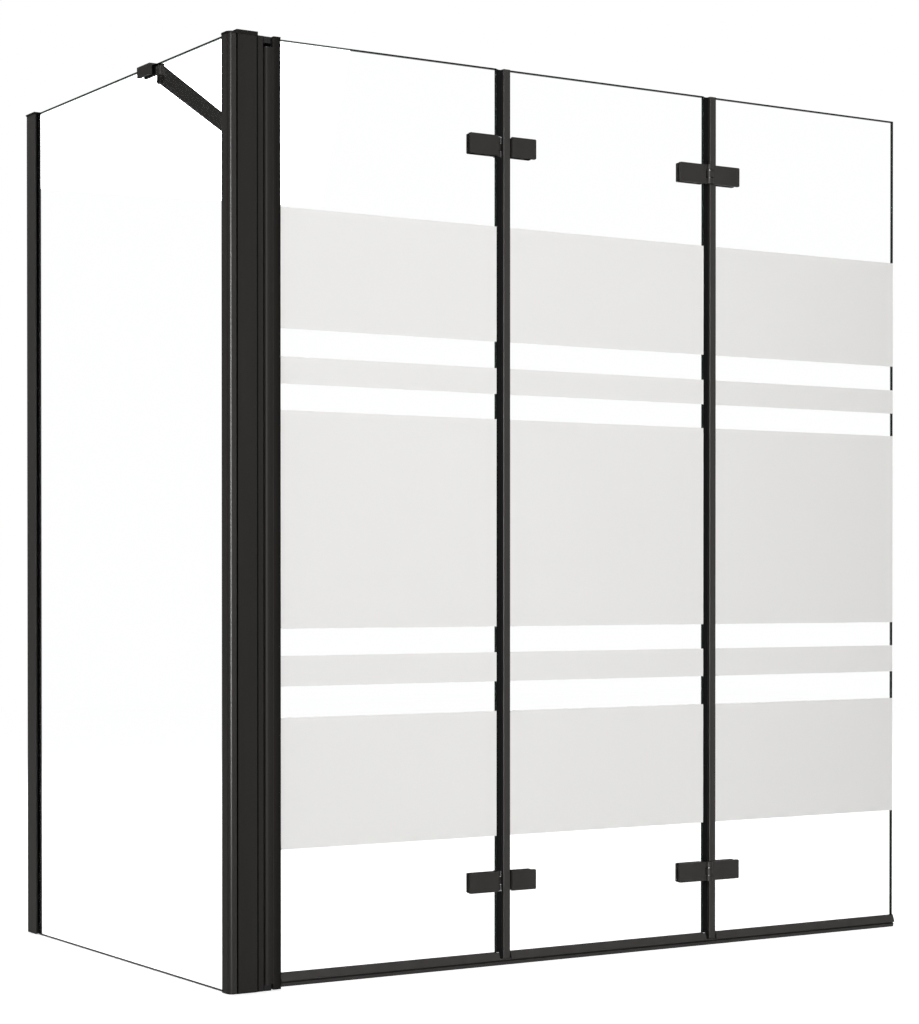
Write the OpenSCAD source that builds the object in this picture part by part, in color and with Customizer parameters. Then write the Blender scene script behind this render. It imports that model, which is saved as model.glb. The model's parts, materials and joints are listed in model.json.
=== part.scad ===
// Corner over-bath screen: a fixed side glass, a corner post with an adjustable pivot,
// and three glass panels that swing and fold, held by a horizontal stabiliser bar.
// X runs along the front glass, Y runs to the back wall, Z is up.
// The origin is on the wall, at the foot of the wall profile.

/* [Overall] */
// Height from the tub rim to the top of the channel cap
height = 1399; // [1300:1:1600]
// Distance from the back wall to the middle of the front glass
side_depth = 757; // [650:1:900]
// How far the adjusting profile is drawn out of its channel
draw_out = 11.2; // [5:0.1:18]

/* [Glass] */
// Thickness of every pane
glass_t = 6; // [5:0.5:8]
// Width of the pane next to the corner
glass_1_w = 390; // [300:1:500]
// Width of the middle pane
glass_2_w = 388; // [300:1:500]
// Width of the free pane
glass_3_w = 396; // [300:1:500]
// Space between two neighbouring panes
seam_gap = 16; // [14:0.5:20]
// Height of the lower edge of the folding panes
glass_low = 12.6; // [11.6:0.2:20]
// How far the panes end below the top of the channel cap
glass_drop = 5.7; // [5:0.1:8]
// Bedding strip under the side pane
bed_t = 1; // [0.6:0.1:2]
// Arris along the upright edges of the panes
arris = 0.4; // [0.2:0.1:0.8]

/* [Frosted bands] */
// Height of the lower edge of the lowest band
band_low = 205; // [160:1:240]
// Height of the lowest band
band_1_h = 194; // [150:1:200]
// Gap above the lowest band
band_1_gap = 46; // [20:1:50]
// Height of the second band
band_2_h = 45; // [20:1:60]
// Gap above the second band
band_2_gap = 40; // [20:1:50]
// Height of the middle band
band_3_h = 321; // [200:1:340]
// Gap above the middle band
band_3_gap = 39; // [20:1:50]
// Height of the fourth band
band_4_h = 40; // [20:1:60]
// Gap above the fourth band
band_4_gap = 41; // [20:1:50]
// Height of the highest band
band_5_h = 178; // [120:1:190]
// Thickness of the enamel that makes the bands
band_t = 0.2; // [0.1:0.05:0.4]

/* [Glazing seals] */
// Thickness of the strip on each face of a pane inside a profile
seal_t = 1.4; // [1:0.1:2]
// Depth of that strip
seal_depth = 8; // [6:0.5:8]

/* [Wall profile] */
// Depth from the wall
wall_depth = 36; // [30:1:50]
// Thickness of its two walls
wall_side_t = 1.6; // [1.2:0.1:2.5]
// Thickness of its web on the wall
wall_web_t = 3; // [2.5:0.1:4]
// Distance from the wall to the edge of the side pane
wall_to_glass = 16; // [12:0.5:22]
// Radius of the three screw holes
wall_hole_r = 2.5; // [2:0.1:3]
// Radius of their countersinks
wall_sink_r = 4.2; // [3.5:0.1:4.2]
// Height of the lowest screw hole
wall_hole_low = 95; // [60:1:120]
// Distance from the highest screw hole to the top of the profile
wall_hole_top = 98.5; // [60:0.5:120]
// Thickness of its cap
wall_cap_t = 3.2; // [2.5:0.1:4.5]
// How far the top of its cap stands proud all round
wall_cap_out = 1.7; // [1:0.1:3]

/* [Corner post] */
// Thickness of its side walls
post_side_t = 2.1; // [1.6:0.1:3]
// How far it stands in front of the middle of the front glass
post_front = 7; // [6:0.1:9]
// How far it reaches behind the middle of the front glass
post_back = 17; // [16:0.5:24]
// Radius of its round front corner
post_round_r = 8; // [4:0.5:9]
// Radius of its other front edge and of the channel's edges, which leave a groove between them
seam_round_r = 1; // [0.6:0.1:1.2]
// How far behind the middle of the front glass the side pane's pocket starts
post_pocket = 2; // [1:0.1:3]
// Thickness of the web in front of the side pane
post_web_t = 4.4; // [4.4:0.1:4.8]
// Space between the side pane and that web
post_glass_gap = 3; // [2:0.5:4]
// Thickness of its cap
post_cap_t = 2.2; // [1.5:0.1:3]
// How far its cap stands proud on the left
post_cap_out = 1.6; // [0.5:0.1:3]
// How far its cap stands proud at the back
post_cap_back = 4; // [2:0.5:6]

/* [Screen channel] */
// Width of the channel
channel_w = 33; // [30:0.5:36]
// Thickness of its walls
channel_t = 1.5; // [1.2:0.1:2]
// How far its cap stands proud
channel_cap_out = 1; // [0.5:0.1:1.5]
// Depth of the adjusting profile in the channel
adjust_depth = 12; // [11.6:0.1:13]
// Width of the adjusting profile
adjust_w = 38.7; // [36:0.1:42]
// Thickness of its walls
adjust_t = 1.5; // [1.2:0.1:1.5]
// Sliding clearance on each side
slide_fit = 0.1; // [0.05:0.05:0.2]
// Height of the lowest joining screw and the lowest adjusting screw
joint_screw_low = 120; // [80:1:200]

/* [Pivot] */
// Radius of the pivot knuckle
pivot_r = 6.25; // [6:0.05:6.5]
// Gap between the knuckle and the adjusting profile
pivot_gap = 2.05; // [2:0.05:3]
// Distance from the pivot axis to the clamp of the pane
clamp_near = 6.4; // [6.3:0.05:6.6]
// Width of the clamp
clamp_w = 13; // [11:0.1:16]
// Thickness of the clamp's walls
clamp_t = 2.1; // [1.8:0.1:2.5]
// Thickness of the clamp's cap
pivot_cap_t = 2; // [1.5:0.1:3]
// Distance from the pivot axis to the edge of the pane
pivot_to_glass = 9; // [8.8:0.1:10]
// Half width of the bearing tongues
tongue_half = 5.2; // [4.8:0.1:5.4]
// Height of the lower tongue
tongue_low_h = 8.5; // [6:0.5:12]
// Height of the upper tongue
tongue_top_h = 9.5; // [8:0.5:12]
// Space between the knuckle and the lower tongue
knuckle_low_gap = 1; // [0.8:0.1:2]
// Space between the knuckle and the upper tongue
knuckle_top_gap = 5.5; // [1:0.1:7]
// Wall of the pivot bushes
bush_t = 1.5; // [1:0.1:1.6]

/* [Panel hinges] */
// Height of a hinge
hinge_h = 31; // [28:0.5:40]
// Height of the lower hinge at the first seam
hinge_a_low = 118.5; // [90:0.5:160]
// Height of the upper hinge at the first seam
hinge_a_top = 1258.5; // [1200:0.5:1260]
// Height of the lower hinge at the second seam
hinge_b_low = 109.5; // [90:0.5:160]
// Height of the upper hinge at the second seam
hinge_b_top = 1250.5; // [1200:0.5:1260]
// Reach of a hinge from its axis over the left pane
hinge_reach_left = 60; // [58:0.5:70]
// Reach of a hinge from its axis over the right pane
hinge_reach_right = 62.5; // [58:0.5:70]
// How much shorter the parts on the side of the bath are
hinge_less = 3; // [0:0.5:4]
// Thickness of a hinge plate
plate_t = 4.5; // [4:0.1:6]
// Thickness of the pads on the glass
pad_t = 0.5; // [0.3:0.1:1]
// Space between a plate and the plane of the hinge axis
fold_gap = 0.5; // [0.5:0.1:1]
// Radius of the hinge knuckles
knuckle_r = 6; // [5.5:0.1:6.5]
// Height of an end knuckle
knuckle_end_h = 8.9; // [7:0.1:9.5]
// Gap between neighbouring knuckles
knuckle_play = 1.1; // [0.4:0.1:1.4]
// Space round the other leaf's knuckles
knuckle_clear = 1; // [0.5:0.1:1.4]
// Corner radius of the plates
plate_round = 2; // [1:0.1:3]
// Radius of the pivot pins and hinge pins
pin_r = 3; // [2.5:0.1:3]
// Radial clearance round a pin
pin_fit = 0.05; // [0.03:0.01:0.08]
// Radius of the clamping screws
screw_r = 2.5; // [2:0.1:2.5]
// Radius of their countersunk heads
screw_head_r = 4.6; // [4:0.1:5]
// Distance from the axis to the first clamping screw
screw_near = 27; // [26:0.5:30]
// Distance between the two clamping screws
screw_pitch = 21; // [18:0.5:26]

/* [Edge seals] */
// How far a seal's nose stands beyond the edge of its pane
nose_out = 4; // [3:0.1:5]
// How far its legs reach over the pane
leg_over = 8.3; // [7:0.1:9]
// Thickness of its legs
leg_t = 1.2; // [0.9:0.1:1.3]
// Radius of the bulb on its lip
bulb_r = 2.4; // [2:0.1:2.4]
// Thickness of its lip
lip_t = 1.2; // [0.8:0.1:1.4]

/* [Bottom rails] */
// Height of a rail
rail_h = 12.5; // [11:0.1:16]
// Thickness of its floor
rail_floor = 1.5; // [1.2:0.1:2]
// How far its front nose stands from the pane
rail_nose = 5; // [3:0.1:5]
// How far its front stands from the pane at the top
rail_shoulder = 1.2; // [0.8:0.1:2]
// Thickness of its back leg
rail_leg = 2; // [1.2:0.1:4]
// Drop of the sealing lip under a rail
drip_h = 7.2; // [5:0.1:8]
// Thickness of the sealing lip
drip_t = 1.5; // [1:0.1:2]
// Thickness of the end cap
end_cap_t = 1; // [0.8:0.1:3]

/* [Stabiliser] */
// Distance from the wall to the near end of the glass clamp
brace_reach = 498; // [400:1:560]
// Length of the glass clamp
brace_clamp_len = 44; // [40:1:60]
// Thickness of its jaws
jaw_t = 5.5; // [5:0.1:8]
// How far its jaws reach down the pane
jaw_grip = 13.3; // [11:0.1:16]
// Height of the clamp over the edge of the pane
jaw_over = 3.7; // [3:0.1:4.5]
// Angle of the bar to the front glass
brace_angle = 49.6; // [44:0.1:55]
// Thickness of the bar
bar_t = 5; // [4:0.1:6]
// Height of the bar
bar_h = 30; // [26:0.5:32]
// Radius of the swivel barrels
swivel_r = 6; // [5.5:0.1:6.5]
// Radius of the swivel pins
swivel_pin_r = 2.5; // [2:0.1:3]
// Width of the wall flange
flange_w = 48; // [44:1:60]
// Thickness of the wall flange
flange_t = 4; // [3:0.1:6]
// Distance from the wall to the swivel pin
flange_out = 14; // [12:0.5:18]
// Radius of the two screw holes in the wall flange
flange_hole_r = 2.5; // [2:0.1:3]
// Distance between them
flange_hole_pitch = 32; // [30:0.5:36]

/* [Hidden] */
$fn = 48;
cut = 1;
small_gap = 0.3;

// Heights
glass_top = height - glass_drop;
cover_gap = 0.2;
frame_top = glass_top + cover_gap;
wall_hole_pitch = (frame_top - wall_hole_top - wall_hole_low) / 2;
clamp_low = bed_t;
clamp_top = frame_top + 0.5;
bearing_flange_t = 1;
tongue_top_z = frame_top + bearing_flange_t;
knuckle_low_z = tongue_low_h + knuckle_low_gap;
knuckle_top_z = tongue_top_z - tongue_top_h - knuckle_top_gap;

// Plan of the frame
front_y = -side_depth;
pocket_half = glass_t / 2 + seal_t;
wall_half = pocket_half + wall_side_t;
post_half = pocket_half + post_side_t;
post_pocket_y = front_y + post_pocket;
side_glass_front = post_pocket_y + post_glass_gap;
channel_left = post_half;
channel_right = channel_left + channel_w;
channel_half = adjust_depth / 2 + slide_fit + channel_t;
adjust_right = channel_right + draw_out;
adjust_left = adjust_right - adjust_w;
pivot_x = adjust_right + pivot_gap + pivot_r;
clamp_left = pivot_x + clamp_near;
clamp_right = clamp_left + clamp_w;
clamp_half = pocket_half + clamp_t;
clamp_floor = pivot_to_glass - 1;
clamp_round = 0.8;
neck_half = 4.5;
tongue_step = 0.1;
tongue_end = pin_r + 1.2;
tongue_sweep = clamp_near - 0.4;
bush_r = pin_r + pin_fit + bush_t;
pin_reach = 16;
pin_inset = 0.5;
bearing_plug_w = 19;
bearing_plug_h = 20;
bearing_plug_half = adjust_depth / 2 - adjust_t - slide_fit;
cap_plug_h = 8;

// The joining screws sit in the web between the post's pocket and its front chamber,
// and the adjusting screws go through the back of the channel into the adjusting profile
joint_screw_r = 1.4;
joint_screw_y = post_pocket_y - post_web_t / 2;
joint_screw_zs = [for (i = [0 : 2]) joint_screw_low + i * (glass_top - 2 * joint_screw_low) / 2];
adjust_screw_r = 1.9;
adjust_screw_x = (adjust_left + channel_right) / 2;
adjust_screw_over = 2.5;

// Plan of the folding panes
glass_1_x = pivot_x + pivot_to_glass;
axis_a = glass_1_x + glass_1_w + seam_gap / 2;
glass_2_x = axis_a + seam_gap / 2;
axis_b = glass_2_x + glass_2_w + seam_gap / 2;
glass_3_x = axis_b + seam_gap / 2;
free_x = glass_3_x + glass_3_w;

// Across a hinge, from the middle of the glass
pad_face = glass_t / 2 + pad_t;
plate_face = pad_face + plate_t;
axis_out = plate_face + fold_gap;
seal_end = seam_gap / 2 + leg_over;
plate_gap = 1.7;
middle_low = knuckle_end_h + knuckle_play;
middle_h = hinge_h - 2 * middle_low;
screw_xs = [screw_near, screw_near + screw_pitch];
sleeve_r = screw_r + pin_fit + 1.8;
glass_hole_r = sleeve_r + 0.2;
blind_wall = 1.2;
leaf_start = 0.8;
pad_inset = 0.3;
hinges_a = [hinge_a_low, hinge_a_top];
hinges_b = [hinge_b_low, hinge_b_top];

// Frosted bands, from the lowest to the highest
band_heights = [band_1_h, band_2_h, band_3_h, band_4_h, band_5_h];
band_gaps = [band_1_gap, band_2_gap, band_3_gap, band_4_gap, 0];
function sum_below(list, i) = i == 0 ? 0 : list[i - 1] + sum_below(list, i - 1);
function band_z(i) = band_low + sum_below(band_heights, i) + sum_below(band_gaps, i);
band_start = clamp_right + seal_t / 2 + small_gap;

// Bottom rails
rail_low = glass_low - rail_floor;
rail_top = rail_low + rail_h;
rail_fit = 0.1;
rail_front = glass_t / 2 + rail_nose;
rail_back = glass_t / 2 + rail_leg;
rail_groove = 2.6;
drip_key = 2.4;
drip_key_h = 0.8;
rail_short = 4;
seam_play = 0.2;

// Stabiliser
jaw_half = glass_t / 2 + pad_t + jaw_t;
jaw_low = glass_top - jaw_grip;
jaw_top = glass_top + jaw_over;
swivel_x = jaw_half + swivel_r / 2;
swivel_y = -brace_reach + swivel_r / 4;
flange_x = swivel_x + (-flange_out - swivel_y) / tan(brace_angle);
bar_low = jaw_top - bar_h;
bar_len = (-flange_out - swivel_y) / sin(brace_angle);
eye_top = jaw_low - small_gap;
jaw_screw_r = 2.5;
jaw_screw_ys = [16, 36];

// Colours
black_metal = "#2b2d2f";
black_rubber = "#1b1b1c";
clear_glass = [0.72, 0.84, 0.80, 0.45];
white_enamel = "#e6e8e8";
grey_nylon = "#3a3c3e";
dark_steel = "#4a4c4e";

// A rectangle with round corners, from corner a to corner b
module round_rect(a, b, r) {
  translate([a.x + r, a.y]) square([b.x - a.x - 2 * r, b.y - a.y]);
  translate([a.x, a.y + r]) square([b.x - a.x, b.y - a.y - 2 * r]);
  for (x = [a.x + r, b.x - r])
    for (y = [a.y + r, b.y - r])
      translate([x, y]) circle(r);
}

// Extrudes an outline drawn in Y and Z along X, from x0 to x1
module along_x(x0, x1) {
  translate([x0, 0, 0]) rotate([90, 0, 90]) linear_extrude(x1 - x0) children();
}

// Extrudes an outline drawn in X and Z along Y, from y0 to y1
module along_y(y0, y1) {
  translate([0, y1, 0]) rotate([90, 0, 0]) linear_extrude(y1 - y0) children();
}

// Extrudes an outline drawn in X and Y from z0 up to z1
module between(z0, z1) {
  translate([0, 0, z0]) linear_extrude(z1 - z0) children();
}

// A cap that widens by "out" from its foot to its top edge
module flared_cap(a, b, out, z0, h) {
  intersection() {
    along_y(a.y - out, b.y + out)
      polygon([[a.x, z0], [b.x, z0], [b.x + out, z0 + 0.7 * h], [b.x + out, z0 + h],
               [a.x - out, z0 + h], [a.x - out, z0 + 0.7 * h]]);
    along_x(a.x - out, b.x + out)
      polygon([[a.y, z0], [b.y, z0], [b.y, z0 + h], [a.y - out, z0 + h],
               [a.y - out, z0 + 0.7 * h]]);
  }
}

// A strip with a round nose, from the pane's face outwards; "back" and "mouth" lie along the pane
module glazing_strip(back, mouth) {
  square_low = min(back, mouth);
  translate([square_low, glass_t / 2]) square([abs(mouth - back), seal_t]);
  translate([mouth, glass_t / 2 + seal_t / 2]) circle(seal_t / 2);
}

// Both strips of a pocket
module glazing_pair(back, mouth) {
  glazing_strip(back, mouth);
  mirror([0, 1]) glazing_strip(back, mouth);
}

// A pan-head screw that points along +X from its bearing face
module pan_screw(shank_r, head_r, head_h, length) {
  rotate([0, 90, 0]) {
    cylinder(r = shank_r, h = length);
    difference() {
      translate([0, 0, -head_h]) cylinder(r = head_r, h = head_h);
      translate([0, 0, -head_h - cut]) cylinder(r = shank_r * 0.7, h = head_h * 0.6 + cut, $fn = 6);
    }
  }
}

// Outline of the wall profile
module wall_outline() {
  difference() {
    round_rect([-wall_half, -wall_depth], [wall_half, 0], 0.4);
    translate([-pocket_half, -wall_depth - cut])
      square([2 * pocket_half, wall_depth - wall_web_t + cut]);
  }
}

module wall_profile() color(black_metal) {
  difference() {
    linear_extrude(frame_top) wall_outline();
    for (i = [0 : 2]) translate([0, 0, wall_hole_low + i * wall_hole_pitch]) {
      rotate([90, 0, 0]) translate([0, 0, -cut]) cylinder(r = wall_hole_r, h = wall_web_t + 2 * cut);
      translate([0, -wall_web_t, 0]) rotate([-90, 0, 0])
        cylinder(r1 = wall_sink_r, r2 = wall_hole_r, h = wall_sink_r - wall_hole_r);
    }
  }
}

module wall_profile_cap() color(black_metal) {
  flared_cap([-wall_half, -wall_depth], [wall_half, 0], wall_cap_out, frame_top, wall_cap_t);
  plug_y = -wall_to_glass + small_gap;
  between(frame_top - cap_plug_h, frame_top) difference() {
    translate([-pocket_half + slide_fit, plug_y])
      square([2 * (pocket_half - slide_fit), -plug_y - wall_web_t - slide_fit]);
    translate([-pocket_half + wall_side_t, plug_y - cut])
      square([2 * (pocket_half - wall_side_t), -plug_y - 2 * wall_web_t - slide_fit + cut]);
  }
}

module wall_profile_seals() color(black_rubber) {
  linear_extrude(glass_top) rotate(90) mirror([1, 0])
    glazing_pair(wall_depth - seal_depth, wall_depth);
}

// Plan of a pane with a fine arris along its upright edges, from x0 to x1
module pane_outline(x0, x1) {
  h = glass_t / 2;
  polygon([[x0 + arris, -h], [x1 - arris, -h], [x1, -h + arris], [x1, h - arris],
           [x1 - arris, h], [x0 + arris, h], [x0, h - arris], [x0, -h + arris]]);
}

module side_glass() color(clear_glass) {
  between(bed_t, glass_top) rotate(90) pane_outline(side_glass_front, -wall_to_glass);
}

module side_glass_bed() color(clear_glass) {
  translate([-glass_t / 2, front_y + post_back, 0])
    cube([glass_t, side_depth - post_back - wall_depth, bed_t]);
}

// Outline of the corner post: a round front corner, a pocket for the side pane, and a screw web
module post_outline() {
  front = front_y - post_front;
  back = front_y + post_back;
  web_front = post_pocket_y - post_web_t;
  r = post_round_r;
  edge_r = seam_round_r;
  difference() {
    union() {
      translate([-post_half + r, front]) square([2 * post_half - r - edge_r, r]);
      translate([post_half - r, front + edge_r]) square([r, r - edge_r]);
      translate([post_half - edge_r, front + edge_r]) circle(edge_r);
      translate([-post_half, front + r]) square([2 * post_half, back - front - r]);
      translate([-post_half + r, front + r]) intersection() {
        circle(r);
        translate([-r, -r]) square(r);
      }
    }
    translate([-pocket_half, post_pocket_y]) square([2 * pocket_half, back - post_pocket_y + cut]);
    translate([0, front + post_side_t]) square([pocket_half, web_front - front - post_side_t]);
  }
}

module corner_post() color(black_metal) {
  difference() {
    linear_extrude(frame_top) post_outline();
    for (z = joint_screw_zs) translate([-cut, joint_screw_y, z]) rotate([0, 90, 0])
      cylinder(r = joint_screw_r + pin_fit, h = post_half + 2 * cut);
  }
}

module post_joining_screws() color(dark_steel) {
  for (z = joint_screw_zs) translate([channel_left + channel_t, joint_screw_y, z]) rotate(180)
    pan_screw(joint_screw_r, 2.6, 1.8, channel_t + post_half);
}

// Outline of the post's cap: a round front corner and a half-round back
module post_cap_outline() {
  left = -post_half - post_cap_out;
  right = post_half - channel_cap_out - small_gap;
  front = front_y - post_front - post_cap_out;
  back = front_y + post_back + post_cap_back;
  r = post_round_r + post_cap_out;
  translate([left + r, front]) square([right - left - r, r]);
  translate([left, front + r]) square([right - left, back + left - front - r]);
  translate([left + r, front + r]) intersection() {
    circle(r);
    translate([-r, -r]) square(r);
  }
  translate([0, back + left]) intersection() {
    circle(-left);
    translate([left, 0]) square([right - left, -left]);
  }
}

module corner_post_cap() color(black_metal) {
  chamber_front = front_y - post_front + post_side_t;
  chamber_back = post_pocket_y - post_web_t;
  between(frame_top, frame_top + post_cap_t) post_cap_outline();
  between(frame_top - cap_plug_h, frame_top) translate([slide_fit, chamber_front + slide_fit])
    square([pocket_half - 2 * slide_fit, chamber_back - chamber_front - 2 * slide_fit]);
}

module corner_post_seals() color(black_rubber) {
  back = front_y + post_back;
  linear_extrude(glass_top) rotate(90) glazing_pair(back - seal_depth, back);
}

// Outline of the screen channel, open to the right
module channel_outline() {
  difference() {
    round_rect([channel_left, -channel_half], [channel_right, channel_half], seam_round_r);
    translate([channel_left + channel_t, -channel_half + channel_t])
      square([channel_w, 2 * (channel_half - channel_t)]);
  }
}

module screen_channel() color(black_metal) difference() {
  translate([0, front_y, 0]) linear_extrude(frame_top) channel_outline();
  for (z = joint_screw_zs) translate([channel_left - cut, joint_screw_y, z]) rotate([0, 90, 0])
    cylinder(r = joint_screw_r + pin_fit, h = channel_t + 2 * cut);
  for (z = joint_screw_zs) translate([adjust_screw_x, front_y, z]) rotate([-90, 0, 0])
    cylinder(r = adjust_screw_r + pin_fit, h = channel_half + cut);
}

module screen_channel_cap() color(black_metal) {
  translate([0, front_y, 0]) {
    between(frame_top, height)
      round_rect([channel_left - channel_cap_out, -channel_half - channel_cap_out],
                 [channel_right + channel_cap_out, channel_half + channel_cap_out], 1.2);
    plug = adjust_left - channel_left - channel_t - 2 * slide_fit;
    between(frame_top - cap_plug_h, frame_top)
      translate([channel_left + channel_t + slide_fit, -adjust_depth / 2])
        square([plug, adjust_depth]);
  }
}

module adjusting_profile() color(black_metal) {
  inner = adjust_depth / 2 - adjust_t;
  difference() {
    translate([0, front_y, 0]) linear_extrude(frame_top) difference() {
      round_rect([adjust_left, -adjust_depth / 2], [adjust_right, adjust_depth / 2], 0.5);
      translate([adjust_left + adjust_t, -inner]) square([adjust_w - 2 * adjust_t, 2 * inner]);
    }
    for (z = joint_screw_zs) translate([adjust_screw_x, front_y, z]) rotate([-90, 0, 0])
      cylinder(r = adjust_screw_r + pin_fit, h = adjust_depth);
    translate([adjust_right - adjust_t - cut, front_y - tongue_half - tongue_step, -cut])
      cube([adjust_t + 2 * cut, 2 * (tongue_half + tongue_step), tongue_low_h + cut + tongue_step]);
    translate([adjust_right - adjust_t - cut, front_y - tongue_half - tongue_step,
               tongue_top_z - tongue_top_h - tongue_step])
      cube([adjust_t + 2 * cut, 2 * (tongue_half + tongue_step), tongue_top_h + cut]);
  }
}

module adjusting_screws() color(dark_steel) {
  for (z = joint_screw_zs) translate([adjust_screw_x, front_y + channel_half, z]) rotate(-90)
    pan_screw(adjust_screw_r, 3.4, 2.2, channel_t + slide_fit + adjust_t + adjust_screw_over);
}

// Plan of a bearing tongue: it ends beyond the pivot axis, and its corners stay clear of the clamp
module tongue_plan() {
  difference() {
    union() {
      translate([adjust_right - adjust_t, front_y - tongue_half])
        square([pivot_x - adjust_right + adjust_t, 2 * tongue_half]);
      translate([pivot_x, front_y]) intersection() {
        circle(tongue_sweep);
        translate([0, -tongue_half]) square([tongue_end, 2 * tongue_half]);
      }
    }
    translate([pivot_x, front_y]) circle(pin_r);
  }
}

// A bearing block is a plug inside the adjusting profile with a tongue that carries the pivot pin
module bearing_plug(z0) {
  translate([adjust_right - adjust_t - bearing_plug_w, front_y - bearing_plug_half, z0])
    cube([bearing_plug_w, 2 * bearing_plug_half, bearing_plug_h]);
}

module pivot_bearing_top() color(grey_nylon) {
  bearing_plug(frame_top - bearing_plug_h);
  between(tongue_top_z - tongue_top_h, tongue_top_z) tongue_plan();
  between(frame_top, tongue_top_z) translate([0, front_y])
    round_rect([channel_right + channel_cap_out + slide_fit, -adjust_depth / 2],
               [adjust_right, adjust_depth / 2], 0.5);
}

module pivot_bearing_bottom() color(grey_nylon) {
  bearing_plug(0);
  between(0, tongue_low_h) tongue_plan();
}

// Each pin reaches from its tongue down or up into the bush of the knuckle
module pivot_pins() color(dark_steel) translate([pivot_x, front_y, 0]) {
  translate([0, 0, pin_inset]) cylinder(r = pin_r, h = knuckle_low_z + pin_reach - pin_inset);
  translate([0, 0, knuckle_top_z - pin_reach])
    cylinder(r = pin_r, h = tongue_top_z - pin_inset - knuckle_top_z + pin_reach);
}

module pivot_gap_seal() color(black_rubber) {
  r = (pivot_gap - small_gap) / 2;
  foot_t = 0.6;
  foot_w = 5;
  between(knuckle_low_z, knuckle_top_z) {
    translate([adjust_right + r, front_y]) circle(r);
    translate([adjust_right, front_y - foot_w / 2]) square([foot_t, foot_w]);
  }
}

// The stabiliser's glass clamp is a saddle over the top edge, with a swivel barrel at its near end
module brace_clamp() color(black_metal) {
  difference() {
    union() {
      along_y(-brace_reach, -brace_reach + brace_clamp_len)
        round_rect([-jaw_half, jaw_low], [jaw_half, jaw_top], 1);
      translate([swivel_x, swivel_y, jaw_low]) cylinder(r = swivel_r, h = jaw_top - jaw_low);
    }
    translate([-jaw_half + jaw_t, -brace_reach - swivel_r, jaw_low - cut])
      cube([2 * (jaw_half - jaw_t), brace_clamp_len + 2 * swivel_r, glass_top + cover_gap - jaw_low + cut]);
    translate([swivel_x, swivel_y, jaw_low - cut])
      cylinder(r = swivel_pin_r + pin_fit, h = jaw_top - jaw_low + 2 * cut);
    for (y = jaw_screw_ys) translate([0, -brace_reach + y, jaw_low + jaw_grip / 2]) rotate([0, 90, 0])
      cylinder(r = jaw_screw_r + pin_fit, h = jaw_half + cut);
  }
}

module brace_clamp_pads() color(black_rubber) {
  for (x = [-glass_t / 2 - pad_t, glass_t / 2])
    translate([x, -brace_reach + 1, jaw_low + 0.5])
      cube([pad_t, brace_clamp_len - 2, jaw_grip - 0.5]);
}

module brace_clamp_screws() color(dark_steel) {
  for (y = jaw_screw_ys) translate([jaw_half - jaw_t, -brace_reach + y, jaw_low + jaw_grip / 2])
    rotate([0, 90, 0]) difference() {
      cylinder(r = jaw_screw_r, h = jaw_t - 0.2);
      translate([0, 0, jaw_t - 2.5]) cylinder(r = jaw_screw_r * 0.55, h = 2.5 + cut, $fn = 6);
    }
}

// The bar is drawn along its own length from the near swivel, then turned
module brace_bar() color(black_metal) {
  translate([swivel_x, swivel_y, 0]) rotate(brace_angle) difference() {
    union() {
      translate([0, -bar_t / 2, bar_low]) cube([bar_len, bar_t, bar_h]);
      for (x = [0, bar_len]) translate([x, 0, bar_low]) cylinder(r = swivel_r, h = eye_top - bar_low);
    }
    for (x = [0, bar_len]) {
      translate([x, 0, eye_top]) cylinder(r = swivel_r + 0.5, h = bar_h);
      translate([x, 0, bar_low - cut]) cylinder(r = swivel_pin_r + pin_fit, h = bar_h + 2 * cut);
    }
  }
}

module brace_swivel_pins() color(dark_steel) {
  for (at = [[swivel_x, swivel_y], [flange_x, -flange_out]])
    translate([at.x, at.y, bar_low + pin_inset])
      cylinder(r = swivel_pin_r, h = bar_h - 2 * pin_inset);
}

module brace_wall_flange() color(black_metal) {
  difference() {
    union() {
      along_y(-flange_t, 0) translate([flange_x, 0])
        round_rect([-flange_w / 2, bar_low], [flange_w / 2, jaw_top], 3);
      translate([flange_x - bar_t, -flange_out, jaw_low])
        cube([2 * bar_t, flange_out - flange_t / 2, jaw_top - jaw_low]);
      translate([flange_x, -flange_out, jaw_low]) cylinder(r = swivel_r, h = jaw_top - jaw_low);
    }
    translate([flange_x, -flange_out, jaw_low - cut])
      cylinder(r = swivel_pin_r + pin_fit, h = jaw_top - jaw_low + 2 * cut);
    for (x = [-1, 1] * flange_hole_pitch / 2)
      translate([flange_x + x, cut, (bar_low + jaw_top) / 2]) rotate([90, 0, 0])
        cylinder(r = flange_hole_r, h = flange_t + 2 * cut);
  }
}

// The pivot profile: a knuckle on the axis, a neck that is flush in front, and a clamp for the first pane
module pivot_profile() color(black_metal) translate([pivot_x, front_y, 0]) {
  difference() {
    union() {
      between(clamp_low, clamp_top)
        round_rect([clamp_near, -clamp_half], [clamp_near + clamp_w, clamp_half], clamp_round);
      between(knuckle_low_z, knuckle_top_z) {
        circle(pivot_r);
        translate([0, -pivot_r]) square([clamp_near + clamp_round, pivot_r + neck_half]);
      }
    }
    between(clamp_low - cut, clamp_top + cut)
      translate([clamp_floor, -pocket_half]) square([clamp_w + cut, 2 * pocket_half]);
    translate([0, 0, knuckle_low_z - cut])
      cylinder(r = bush_r, h = knuckle_top_z - knuckle_low_z + 2 * cut);
  }
}

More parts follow.
